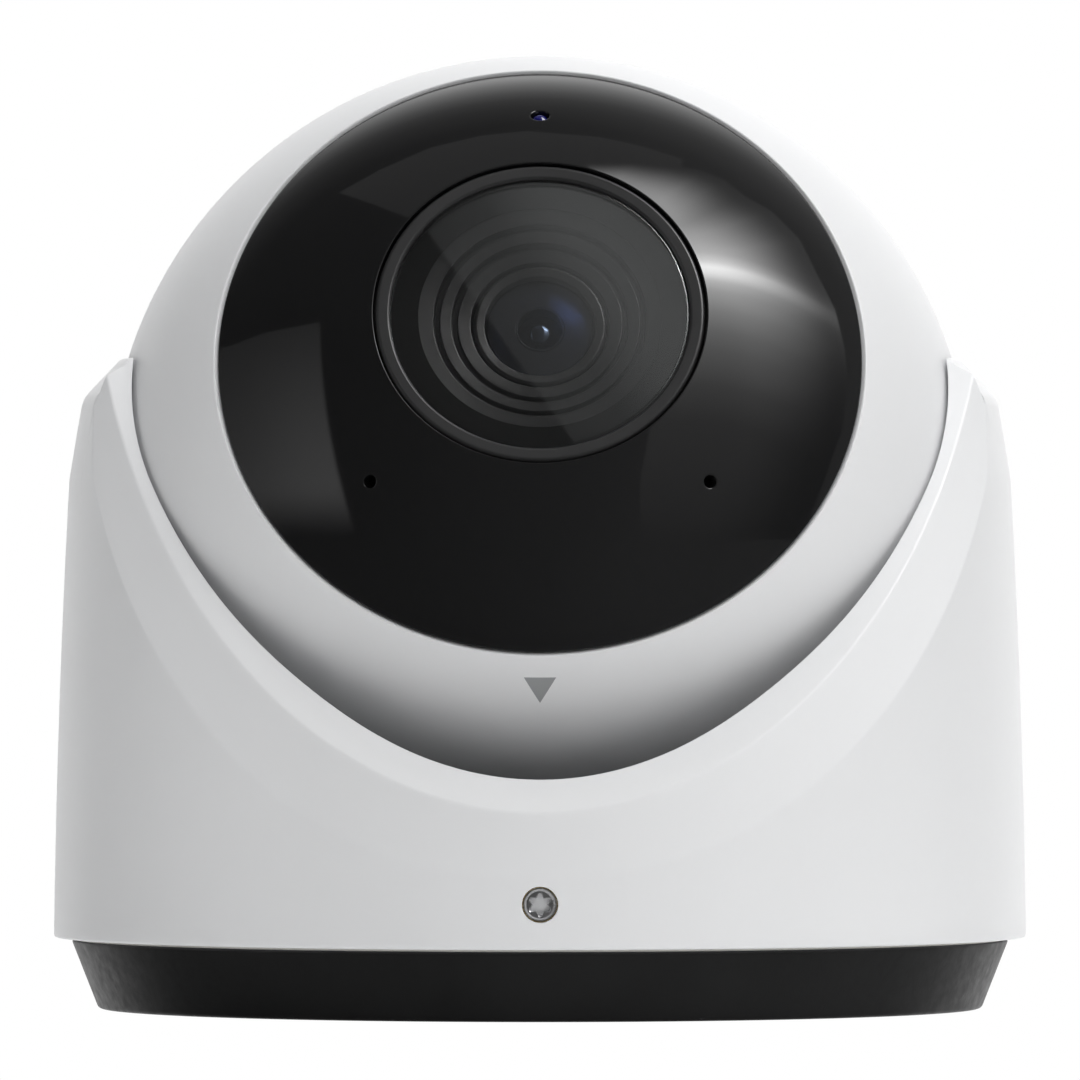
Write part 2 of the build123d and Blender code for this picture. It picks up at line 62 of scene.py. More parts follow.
# ------------------------------------------------------------ camera, view
cam = bpy.data.objects.new("camera", bpy.data.cameras.new("camera"))
scene.collection.objects.link(cam)
cam.location = (0.0, -1.770, 0.05775)
cam.rotation_euler = (math.radians(90), 0, 0)
cam.data.lens = 477.6
cam.data.sensor_width = 36.0
cam.data.clip_start = 0.05
cam.data.clip_end = 30.0
scene.camera = cam
scene.view_settings.view_transform = "Standard"
scene.view_settings.look = "None"
scene.view_settings.exposure = 0.0


LIGHT = dict(cards=1.0, front=6.3, top=25.0, right=5.0, back=0.0, left=1.1, ambient=0.02, floor=0.29, gloss=1.0)


# ------------------------------------------------------------- node helpers
def new_mat(name):
    m = bpy.data.materials.new(name)
    m.use_nodes = True
    nt = m.node_tree
    nt.nodes.clear()
    out = nt.nodes.new("ShaderNodeOutputMaterial")
    return m, nt, out


def node(nt, kind, **values):
    n = nt.nodes.new(kind)
    for k, v in values.items():
        if k.startswith("in_"):
            n.inputs[k[3:].replace("_", " ")].default_value = v
        else:
            setattr(n, k, v)
    return n


def noise(nt, scale, detail=2.0, rough=0.5, distortion=0.0, coord="Object", stretch=None):
    tc = nt.nodes.new("ShaderNodeTexCoord")
    n = nt.nodes.new("ShaderNodeTexNoise")
    n.inputs["Scale"].default_value = scale
    n.inputs["Detail"].default_value = detail
    n.inputs["Roughness"].default_value = rough
    n.inputs["Distortion"].default_value = distortion
    if stretch:
        mp = nt.nodes.new("ShaderNodeMapping")
        mp.inputs["Scale"].default_value = stretch
        nt.links.new(tc.outputs[coord], mp.inputs["Vector"])
        nt.links.new(mp.outputs["Vector"], n.inputs["Vector"])
    else:
        nt.links.new(tc.outputs[coord], n.inputs["Vector"])
    return n.outputs["Fac"]


def ramp(nt, fac, stops):
    r = nt.nodes.new("ShaderNodeValToRGB")
    e = r.color_ramp.elements
    while len(e) < len(stops):
        e.new(0.5)
    for el, (p, c) in zip(e, stops):
        el.position = p
        el.color = c if len(c) == 4 else (*c, 1)
    nt.links.new(fac, r.inputs["Fac"])
    return r.outputs["Color"]


def grey(v):
    return (v, v, v, 1)


def moulded(name, colour, spread=0.03, rough=0.4, rough_spread=0.05, grain=2200.0,
            grain_height=0.010, wave_height=0.0, coat=0.0, coat_rough=0.1, spec=0.5, ior=1.5,
            metallic=0.0, blotch=60.0, sub=0.0):
    """Moulded or painted surface: slight colour drift, uneven gloss, fine grain."""
    m, nt, out = new_mat(name)
    p = nt.nodes.new("ShaderNodeBsdfPrincipled")
    lo = tuple(max(0.0, c * (1 - spread)) for c in colour)
    hi = tuple(min(1.0, c * (1 + spread)) for c in colour)
    big = noise(nt, blotch, 4.0, 0.55)
    nt.links.new(ramp(nt, big, [(0.35, lo), (0.65, hi)]), p.inputs["Base Color"])
    fine = noise(nt, grain * 0.35, 3.0, 0.6)
    nt.links.new(ramp(nt, fine, [(0.3, grey(max(0.0, rough - rough_spread))),
                                 (0.7, grey(rough + rough_spread))]), p.inputs["Roughness"])
    g = noise(nt, grain, 2.0, 0.55)
    b = nt.nodes.new("ShaderNodeBump")
    b.inputs["Strength"].default_value = 1.0
    b.inputs["Distance"].default_value = grain_height * MM
    nt.links.new(g, b.inputs["Height"])
    last = b
    if wave_height:
        w = noise(nt, 90.0, 1.0, 0.4)
        b2 = nt.nodes.new("ShaderNodeBump")
        b2.inputs["Strength"].default_value = 1.0
        b2.inputs["Distance"].default_value = wave_height * MM
        nt.links.new(w, b2.inputs["Height"])
        nt.links.new(b.outputs["Normal"], b2.inputs["Normal"])
        last = b2
    nt.links.new(last.outputs["Normal"], p.inputs["Normal"])
    p.inputs["Metallic"].default_value = metallic
    p.inputs["IOR"].default_value = ior
    p.inputs["Specular IOR Level"].default_value = spec
    p.inputs["Coat Weight"].default_value = coat
    p.inputs["Coat Roughness"].default_value = coat_rough
    if sub:
        p.inputs["Subsurface Weight"].default_value = sub
        p.inputs["Subsurface Scale"].default_value = 0.0006
        p.inputs["Subsurface Radius"].default_value = (1.0, 1.0, 1.0)
    nt.links.new(p.outputs["BSDF"], out.inputs["Surface"])
    return m


def brushed(name, colour, rough=0.3, stretch=(1, 1, 60), scale=120.0, metallic=1.0, depth=0.004):
    m, nt, out = new_mat(name)
    p = nt.nodes.new("ShaderNodeBsdfPrincipled")
    n1 = noise(nt, scale, 3.0, 0.6, stretch=stretch)
    lo = tuple(c * 0.86 for c in colour)
    nt.links.new(ramp(nt, n1, [(0.3, lo), (0.7, colour)]), p.inputs["Base Color"])
    nt.links.new(ramp(nt, n1, [(0.3, grey(rough * 0.75)), (0.7, grey(rough * 1.3))]), p.inputs["Roughness"])
    b = nt.nodes.new("ShaderNodeBump")
    b.inputs["Distance"].default_value = depth * MM
    nt.links.new(n1, b.inputs["Height"])
    nt.links.new(b.outputs["Normal"], p.inputs["Normal"])
    p.inputs["Metallic"].default_value = metallic
    nt.links.new(p.outputs["BSDF"], out.inputs["Surface"])
    return m


def clear_glass(name, tint=(1, 1, 1), mirror=0.08, rough=0.0, body=(1, 1, 1), veil=0.003):
    """Clear part: a faint mirror over a see-through body."""
    m, nt, out = new_mat(name)
    p = nt.nodes.new("ShaderNodeBsdfPrincipled")
    p.inputs["Metallic"].default_value = 1.0
    n = noise(nt, 38.0, 3.0, 0.5)
    nt.links.new(ramp(nt, n, [(0.35, tuple(c * 0.96 for c in tint)), (0.65, tint)]), p.inputs["Base Color"])
    f = noise(nt, 26.0, 2.0, 0.4)
    nt.links.new(ramp(nt, f, [(0.4, grey(rough)), (0.75, grey(rough + 0.004))]), p.inputs["Roughness"])
    b = nt.nodes.new("ShaderNodeBump")
    b.inputs["Distance"].default_value = 0.00001 * MM
    nt.links.new(f, b.inputs["Height"])
    nt.links.new(b.outputs["Normal"], p.inputs["Normal"])
    t = nt.nodes.new("ShaderNodeBsdfTransparent")
    t.inputs["Color"].default_value = (*body, 1)
    mx = nt.nodes.new("ShaderNodeMixShader")
    mx.inputs["Fac"].default_value = mirror
    nt.links.new(t.outputs["BSDF"], mx.inputs[1])
    nt.links.new(p.outputs["BSDF"], mx.inputs[2])
    nt.links.new(mx.outputs["Shader"], out.inputs["Surface"])
    return m


# ---------------------------------------------------------------- materials
MAT = {
    "white_shell": moulded("white_plastic", (0.815, 0.82, 0.83), 0.006, 0.38, 0.04, 2600, 0.0035,
                           wave_height=0.0012, spec=0.32, sub=0.0, blotch=35),
    "black_base": moulded("black_base_plastic", (0.0135, 0.0135, 0.0138), 0.10, 0.47, 0.06, 1900, 0.012, spec=0.4),
    "black_dome": moulded("black_dome_gloss", (0.0100, 0.0100, 0.0103), 0.04, 0.05, 0.008, 3000, 0.00015,
                          wave_height=0.0006, spec=0.5),
    "black_ring": moulded("black_ring_satin", (0.026, 0.026, 0.0265), 0.08, 0.30, 0.02, 2600, 0.0006),
    "black_inner": moulded("black_inner_matt", (0.0145, 0.0145, 0.0148), 0.10, 0.33, 0.03, 2400, 0.001, spec=0.70),
    "print_black": moulded("black_print", (0.0045, 0.0045, 0.0045), 0.1, 0.60, 0.05, 3000, 0.001, spec=0.12),
    "window_glass": clear_glass("window_glass", (0.255, 0.262, 0.262), 0.20, 0.0),
    "coated_glass": clear_glass("coated_lens_glass", (0.62, 0.78, 1.0), 0.30, 0.02, body=(0.80, 0.82, 0.86)),
    "front_coat": clear_glass("front_coating", (0.040, 0.068, 0.180), 0.10, 0.26, body=(0.86, 0.87, 0.92)),
    "filter_glass": clear_glass("filter_glass", (0.9, 0.6, 0.6), 0.06, 0.0, body=(0.6, 0.85, 0.9)),
    "sensor_glass": moulded("blue_sensor_epoxy", (0.006, 0.006, 0.10), 0.25, 0.12, 0.03, 3000, 0.001, coat=0.6, coat_rough=0.03),
    "mark_grey": moulded("grey_print", (0.345, 0.355, 0.36), 0.03, 0.42, 0.04, 3000, 0.002),
    "rubber_black": moulded("silicone_rubber", (0.012, 0.012, 0.012), 0.15, 0.62, 0.06, 1500, 0.010),
    "acetal": moulded("natural_acetal", (0.70, 0.69, 0.64), 0.03, 0.35, 0.05, 1800, 0.006),
    "jack_plastic": moulded("jack_plastic", (0.014, 0.014, 0.015), 0.1, 0.40, 0.05, 2000, 0.006),
    "gold": brushed("gold_contacts", (0.95, 0.70, 0.30), 0.22),
    "brass": brushed("turned_brass", (0.80, 0.62, 0.32), 0.28),
    "steel": brushed("zinc_plated_steel", (0.62, 0.64, 0.66), 0.30),
    "lock_steel": brushed("satin_stainless", (0.80, 0.80, 0.81), 0.34, stretch=(1, 1, 1), scale=900, depth=0.002),
    "bronze": brushed("sintered_bronze", (0.55, 0.38, 0.22), 0.45, stretch=(1, 1, 1), scale=1500),
    "aluminium": brushed("cast_aluminium", (0.72, 0.73, 0.75), 0.42, stretch=(1, 1, 1), scale=1200, depth=0.01),
    "black_metal": moulded("black_anodised", (0.012, 0.012, 0.013), 0.1, 0.30, 0.05, 2600, 0.003, metallic=0.0, spec=0.7),
    "board_green": moulded("green_solder_mask", (0.010, 0.11, 0.045), 0.2, 0.28, 0.06, 500, 0.02, blotch=300, coat=0.3),
    "chip_black": moulded("chip_moulding", (0.022, 0.022, 0.024), 0.12, 0.50, 0.06, 2600, 0.006),
    "led_clear": clear_glass("led_epoxy", (1, 1, 0.95), 0.06, 0.03, body=(0.9, 0.9, 0.8)),
    "copper": brushed("enamelled_copper", (0.72, 0.34, 0.16), 0.30, stretch=(1, 1, 40), scale=400),
    "amber_film": moulded("polyimide_film", (0.45, 0.19, 0.03), 0.1, 0.25, 0.05, 1200, 0.003),
    "lead_jacket": moulded("lead_jacket", (0.014, 0.014, 0.014), 0.12, 0.45, 0.05, 1600, 0.006),
    "button_white": moulded("white_button", (0.72, 0.72, 0.73), 0.02, 0.35, 0.05, 2200, 0.004),
}
for sp in record["subparts"]:
    o = nodes[sp["node"]]
    o.data.materials.clear()
    o.data.materials.append(MAT[sp["material_slot"]])


# ------------------------------------------------------------- mesh helpers
def finish_mesh(name, bm, body, slot, matrix=None, smooth=True, sharp=None):
    bmesh.ops.recalc_face_normals(bm, faces=bm.faces[:])
    me = bpy.data.meshes.new(name)
    bm.to_mesh(me)
    bm.free()
    if matrix is not None:
        me.transform(matrix)
    me.update()
    ob = bpy.data.objects.new(name, me)
    scene.collection.objects.link(ob)
    me.materials.append(MAT[slot])
    me.polygons.foreach_set("use_smooth", [smooth] * len(me.polygons))
    if sharp is not None:
        me.set_sharp_from_angle(angle=math.radians(sharp))
    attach(ob, body)
    return ob


def pol(r, a):
    return (r * math.sin(math.radians(a)), r * math.cos(math.radians(a)))


def sweep_arc(r, a0, a1, step=0.9):
    n = max(2, int(math.ceil(abs(a1 - a0) / step)) + 1)
    return [pol(r, a) for a in np.linspace(a0, a1, n)]


def corner(p, q, s, r, n=6):
    """Round the corner q between p and s: start and end r away from it."""
    p, q, s = (np.array(t, float) for t in (p, q, s))
    a, b = p - q, s - q
    la, lb = np.linalg.norm(a), np.linalg.norm(b)
    ra, rb = min(r, 0.45 * la), min(r, 0.45 * lb)
    p0, p1 = q + a / la * ra, q + b / lb * rb
    out = []
    for t in np.linspace(0, 1, n):
        out.append(tuple((1 - t) ** 2 * p0 + 2 * t * (1 - t) * q + t * t * p1))
    # a close loop on each side keeps the flats flat when shaded smooth
    ex0, ex1 = min(ra * 1.35, 0.5 * la), min(rb * 1.35, 0.5 * lb)
    return [tuple(q + a / la * ex0)] + out + [tuple(q + b / lb * ex1)]


def profile(items):
    """items: (r, z) or (r, z, radius) for a rounded corner, or ("arc", points)."""
    pts, flat = [], []
    for it in items:
        if it[0] == "arc":
            flat += [(p, 0.0) for p in it[1]]
        else:
            flat.append(((it[0], it[1]), it[2] if len(it) > 2 else 0.0))
    n = len(flat)
    for i, (p, r) in enumerate(flat):
        if r:
            pts += corner(flat[i - 1][0], p, flat[(i + 1) % n][0], r)
        else:
            pts.append(p)
    return pts


def lathe_bm(prof, segs=384, closed=True):
    bm = bmesh.new()
    rows = []
    for r, z in prof:
        if r < 1e-6:
            rows.append([bm.verts.new((0, 0, z * MM))])
        else:
            rows.append([bm.verts.new((r * MM * math.cos(2 * math.pi * k / segs),
                                       r * MM * math.sin(2 * math.pi * k / segs), z * MM))
                         for k in range(segs)])
    pairs = list(zip(range(len(rows)), range(1, len(rows))))
    if closed:
        pairs.append((len(rows) - 1, 0))
    for i, j in pairs:
        a, b = rows[i], rows[j]
        if len(a) == 1 and len(b) == 1:
            continue
        for k in range(segs):
            k2 = (k + 1) % segs
            if len(a) == 1:
                bm.faces.new((a[0], b[k], b[k2]))
            elif len(b) == 1:
                bm.faces.new((a[k], b[0], a[k2]))
            else:
                bm.faces.new((a[k], b[k], b[k2], a[k2]))
    bmesh.ops.remove_doubles(bm, verts=bm.verts[:], dist=2e-7)
    return bm


def lathe(name, items, body, slot, matrix=None, segs=384, sharp=40):
    return finish_mesh(name, lathe_bm(profile(items), segs), body, slot, matrix, True, sharp)


def cutter(bm, matrix=None):
    bmesh.ops.recalc_face_normals(bm, faces=bm.faces[:])
    me = bpy.data.meshes.new("cutter")
    bm.to_mesh(me)
    bm.free()
    if matrix is not None:
        me.transform(matrix)
    ob = bpy.data.objects.new("cutter", me)
    scene.collection.objects.link(ob)
    return ob


def cut(ob, tools, sharp=40):
    for t in tools:
        m = ob.modifiers.new("cut", "BOOLEAN")
        m.operation = "DIFFERENCE"
        m.solver = "EXACT"
        m.object = t
    dg = bpy.context.evaluated_depsgraph_get()
    new = bpy.data.meshes.new_from_object(ob.evaluated_get(dg))
    ob.modifiers.clear()
    old = ob.data
    ob.data = new
    new.name = old.name
    bpy.data.meshes.remove(old)
    new.polygons.foreach_set("use_smooth", [True] * len(new.polygons))
    new.set_sharp_from_angle(angle=math.radians(sharp))
    for t in tools:
        bpy.data.objects.remove(t)
    return ob


def box_bm(x0, x1, y0, y1, z0, z1):
    bm = bmesh.new()
    bmesh.ops.create_cube(bm, size=1.0)
    for v in bm.verts:
        v.co = Vector(((x0 + x1) / 2 + v.co.x * (x1 - x0), (y0 + y1) / 2 + v.co.y * (y1 - y0),
                       (z0 + z1) / 2 + v.co.z * (z1 - z0))) * MM
    return bm


def flared(r, z_top, depth, flare, segs=64, up=1.0):
    """Cutter for a hole whose mouth at z_top is rounded over by flare."""
    pts = [(0, z_top - depth), (r, z_top - depth), (r, z_top - flare)]
    for t in np.linspace(0, 1, 6)[1:]:
        a = t * math.pi / 2
        pts.append((r + flare * (1 - math.cos(a)), z_top - flare + flare * math.sin(a)))
    pts += [(r + flare + 0.02, z_top + up), (0, z_top + up)]
    return lathe_bm(pts, segs)


def direction(polar, az):
    s, c = math.sin(math.radians(polar)), math.cos(math.radians(polar))
    return Vector((s * math.cos(math.radians(az)), s * math.sin(math.radians(az)), c))


def along(polar, az):
    return BALL @ direction(polar, az).to_track_quat("Z", "Y").to_matrix().to_4x4()


# ================================================================== the ball
R_BALL, R_IN, R_DOME, D_IN = 53.3, 51.0, 52.9, 50.7
RIM = 47.9

front = lathe("ball_front", [
    ("arc", sweep_arc(R_BALL, 90.0, RIM + 0.75)),
    (*pol(R_BALL, RIM + 0.02), 0.24), (*pol(50.0, RIM), 0.0),
    ("arc", sweep_arc(50.0, RIM - 0.2, 43.6)), (*pol(50.0, 43.5), 0.0), (*pol(48.0, 43.5), 0.3),
    ("arc", sweep_arc(48.0, 43.9, 49.0)), (*pol(51.0, 54.0), 0.0),
    ("arc", sweep_arc(R_IN, 54.5, 90.0))], "eyeball", "white_shell", BALL, 512)
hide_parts("front_shell")

fa = math.degrees(math.asin(21.0 / R_BALL))
fi = math.degrees(math.acos(46.7 / R_IN))
rear = lathe("ball_rear", [
    ("arc", sweep_arc(R_BALL, 90.0, 180 - fa - 0.5)), (21.0, -R_BALL * math.cos(math.radians(fa)), 0.5),
    (8.0, -R_BALL * math.cos(math.radians(fa))), (8.0, -54.2, 0.3), (5.0, -54.2, 0.3), (5.0, -46.7),
    (*pol(R_IN, 180 - fi), 0.0), ("arc", sweep_arc(R_IN, 180 - fi - 0.9, 90.0))],
    "eyeball", "white_shell", BALL, 512)
tools = []
for a in (45, 135, 225, 315):
    x, y = 45.5 * math.cos(math.radians(a)), 45.5 * math.sin(math.radians(a))
    bm = lathe_bm([(0, -60), (3.0, -60), (3.0, -9.0), (0, -9.0)], 64)
    tools.append(cutter(bm, BALL @ Matrix.Translation((x * MM, y * MM, 0))))
cut(rear, tools)
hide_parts("rear_shell")

ho = math.degrees(math.asin(20.15 / R_DOME))
hi = math.degrees(math.asin(20.15 / D_IN))
dome = lathe("front_dome", [
    (*pol(R_DOME, ho), 0.22), ("arc", sweep_arc(R_DOME, ho + 0.6, 47.2)), (*pol(R_DOME, 47.7), 0.25),
    (*pol(D_IN, 47.7), 0.2), ("arc", sweep_arc(D_IN, 47.2, hi + 0.4)), (*pol(D_IN, hi), 0.0)],
    "eyeball", "black_dome", BALL, 640)
HOLES = [(33.2, 90.0, 1.15), (33.2, 225.0, 0.78), (33.2, 315.0, 0.78)]
cut(dome, [cutter(flared(r, 52.88, 6.0, 0.16), along(p, a)) for p, a, r in HOLES])
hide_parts("dome_cover")

# what shows in the top pinhole of the three: the light sensor lens
lens_prof = [(0, 52.79)] + [(1.04 * math.sin(t), 51.75 + 1.04 * math.cos(t))
                            for t in np.linspace(0.12, 1.5, 12)] + [
    (1.05, 51.6), (1.05, 47.3), (2.4, 47.3), (2.4, 44.0), (0, 44.0)]
eye = finish_mesh("light_sensor_lens", lathe_bm(lens_prof, 64), "eyeball", "sensor_glass", along(*HOLES[0][:2]), True, 45)
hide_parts("light_sensor")

ring = lathe("lens_ring_turned", [
    (18.06, 48.45, 0.10), (18.32, 48.75, 0.12), (19.60, 48.75, 0.22), (19.9, 48.40, 0.2),
    (19.9, 45.5), (21.2, 45.5, 0.1), (21.2, 44.5, 0.1), (16.8, 44.5), (16.8, 47.1), (18.06, 47.1)],
    "eyeball", "black_ring", BALL, 512)
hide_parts("lens_ring")

window = lathe("window_pane", [
    (0, 47.39), (18.0, 47.39, 0.05), (18.0, 48.35, 0.14), (17.7, 48.45, 0.05), (0, 48.45)],
    "eyeball", "window_glass", BALL, 256)
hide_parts("lens_window")

baffle = lathe("stepped_baffle", [
    (16.7, 47.05, 0.1), (14.9, 47.05, 0.1), (12.85, 46.66, 0.12), (12.70, 45.60), (12.20, 45.60), (12.08, 46.30, 0.10),
    (10.70, 46.02, 0.12), (10.55, 45.0), (10.05, 45.0), (9.93, 45.66, 0.10), (8.36, 45.34, 0.12), (8.23, 44.0),
    (16.7, 44.0)], "eyeball", "black_inner", BALL, 384)
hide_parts("lens_baffle")

barrel = lathe("front_barrel", [
    (8.05, 30.0, 0.2), (8.05, 44.9, 0.12), (7.72, 45.25, 0.15), (6.72, 45.02, 0.10), (6.58, 44.75), (6.55, 43.5),
    (5.2, 43.5), (5.2, 30.0)], "eyeball", "black_inner", BALL, 256)
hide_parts("lens_barrel")

R1 = 9.5
TOP1 = 46.6
lens = lathe("front_element", [
    (0, 43.2), (6.50, 43.2, 0.05), (6.50, 44.1), ("arc", [
        (r, TOP1 - R1 + math.sqrt(R1 * R1 - r * r)) for r in np.linspace(6.4, 0.0, 24)])],
    "eyeball", "coated_glass", BALL, 192)
lens.data.materials[0] = MAT["front_coat"]
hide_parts("front_lens")

# aperture plate, at the depth where the front element makes it appear
iris = lathe("aperture_ring", [
    (2.92, 43.86, 0.03), (2.95, 44.02, 0.03), (3.04, 44.06, 0.03), (6.30, 44.00), (6.30, 43.7), (3.0, 43.7, 0.03)],
    "eyeball", "black_inner", BALL, 192)
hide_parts("iris_ring")
edge = lathe("aperture_edge", [
    (2.72, 44.05, 0.05), (2.72, 44.16, 0.05), (2.88, 44.16, 0.05), (2.88, 44.05, 0.05)],
    "eyeball", "black_ring", BALL, 160)

ra, rb = 1.95, 2.1
inner = lathe("second_element", [
    (0, 38.6), (2.86, 38.6), (2.86, 41.9), ("arc", [
        (r, 43.7 - ra + math.sqrt(ra * ra - r * r)) for r in np.linspace(1.75, 0.0, 24)])],
    "eyeball", "coated_glass", BALL, 128)
inner2 = lathe("third_element", [
    (0, 32.0), (5.12, 32.0), (5.12, 34.9), ("arc", [
        (r, 34.2 + rb - math.sqrt(rb * rb - r * r)) for r in np.linspace(1.8, 0.0, 24)])],
    "eyeball", "coated_glass", BALL, 128)
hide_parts("rear_lenses")
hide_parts("rear_lenses")

# triangular print, lying on the shell
def tri_mark():
    bm = bmesh.new()
    pol_top, pol_tip, half, r0, r1 = 51.04, 54.76, 1.94, 53.26, 53.315
    rows = []
    n = 14
    for i in range(n + 1):
        t = i / n
        a = math.radians(pol_top + (pol_tip - pol_top) * t)
        w = half * (1 - t)
        row = []
        for j in range(n + 1):
            x = w * (2 * j / n - 1)
            row.append((x, a))
        rows.append(row)

    def at(x, a, r):
        az = x / (r * 1.0)
        y, z = -math.sin(a), math.cos(a)
        return Vector((math.sin(az), y * math.cos(az), z * math.cos(az))) * (r * MM)

    top = [[bm.verts.new(at(x, a, r1)) for x, a in row] for row in rows]
    bot = [[bm.verts.new(at(x, a, r0)) for x, a in row] for row in rows]
    for g, flip in ((top, 1), (bot, 0)):
        for i in range(n):
            for j in range(n):
                f = [g[i][j], g[i][j + 1], g[i + 1][j + 1], g[i + 1][j]]
                bm.faces.new(f if flip else f[::-1])
    edge = [(0, j) for j in range(n + 1)] + [(i, n) for i in range(1, n + 1)] + \
        [(n, j) for j in range(n - 1, -1, -1)] + [(i, 0) for i in range(n - 1, 0, -1)]
    for (i, j), (k, m) in zip(edge, edge[1:] + edge[:1]):
        bm.faces.new((top[i][j], top[k][m], bot[k][m], bot[i][j]))
    bmesh.ops.remove_doubles(bm, verts=bm.verts[:], dist=1e-7)
    bmesh.ops.dissolve_degenerate(bm, dist=1e-7, edges=bm.edges[:])
    return finish_mesh("triangle_mark", bm, "eyeball", "mark_grey", BALL, True, 40)


mark = tri_mark()
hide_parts("orientation_mark")

# ================================================================= the cover
CUT = math.radians(50.0)
SB, CB = math.sin(CUT), math.cos(CUT)
N_RIM, N_LOW, N_IN = 19.95, 13.0, 12.8
BORE = 53.8


def nvx(r, phi, z):
    y, dz = r * np.sin(phi), z - S
    return -SB * y + CB * dz, CB * y + SB * dz, r * np.cos(phi)


def kept(r, phi, z):
    n, v, x = nvx(r, phi, z)
    t = (n - N_LOW) / (N_RIM - N_LOW)
    a = 59.34 + (55.38 - 59.34) * t
    b = 89.83 + (96.40 - 89.83) * t
    vc = 11.08 + (28.67 - 11.08) * t
    e = (x / a) ** 2 + ((v - vc) / b) ** 2
    return (n <= N_RIM) & ((n <= N_LOW) | (e <= 1.0))


def circle3(p, m, q, n):
    ax, ay, bx, by, cx, cy = *p, *m, *q
    d = 2 * (ax * (by - cy) + bx * (cy - ay) + cx * (ay - by))
    ux = ((ax * ax + ay * ay) * (by - cy) + (bx * bx + by * by) * (cy - ay) + (cx * cx + cy * cy) * (ay - by)) / d
    uy = ((ax * ax + ay * ay) * (cx - bx) + (bx * bx + by * by) * (ax - cx) + (cx * cx + cy * cy) * (bx - ax)) / d
    r = math.hypot(ax - ux, ay - uy)
    a0, a1 = math.atan2(ay - uy, ax - ux), math.atan2(cy - uy, cx - ux)
    a1 = a0 + (a1 - a0 + math.pi) % (2 * math.pi) - math.pi
    return [(ux + r * math.cos(t), uy + r * math.sin(t)) for t in np.linspace(a0, a1, n)]


